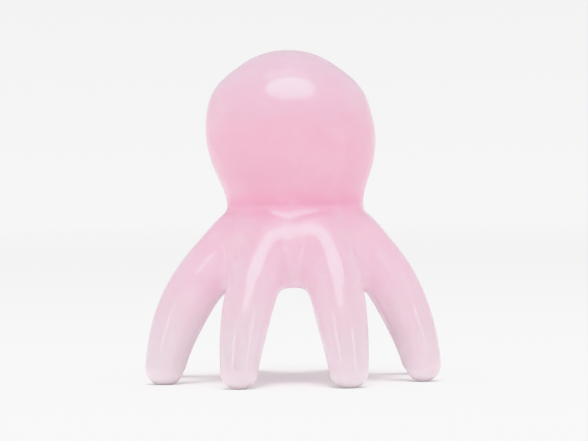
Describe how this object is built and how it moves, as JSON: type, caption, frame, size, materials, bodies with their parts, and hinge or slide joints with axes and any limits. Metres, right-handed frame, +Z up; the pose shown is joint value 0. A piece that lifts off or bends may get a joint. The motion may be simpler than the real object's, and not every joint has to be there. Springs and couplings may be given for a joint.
{
  "type": "octopus massager",
  "caption": "Hand-held massage tool: a round head for the palm on a short skirt, hollow underneath, whose ring of rounded arms presses on the skin and serves as its feet.",
  "frame": {"origin": "on the surface that the arms stand on, under the middle of the head", "axes": "+Z up through the head, -Y the front, half way between two arms"},
  "size_m": [0.0792, 0.0792, 0.09],
  "materials": {
    "rose_resin": "milky rose-pink cast resin, clouded, polished to a soft gloss, paler towards the tips of the arms",
    "dowel_resin": "pale clear-milky resin rod, smooth"
  },
  "bodies": {
    "root": {"head": "rose_resin", "leg_skirt": "rose_resin", "neck_dowel": "dowel_resin"}
  },
  "joints": []
}
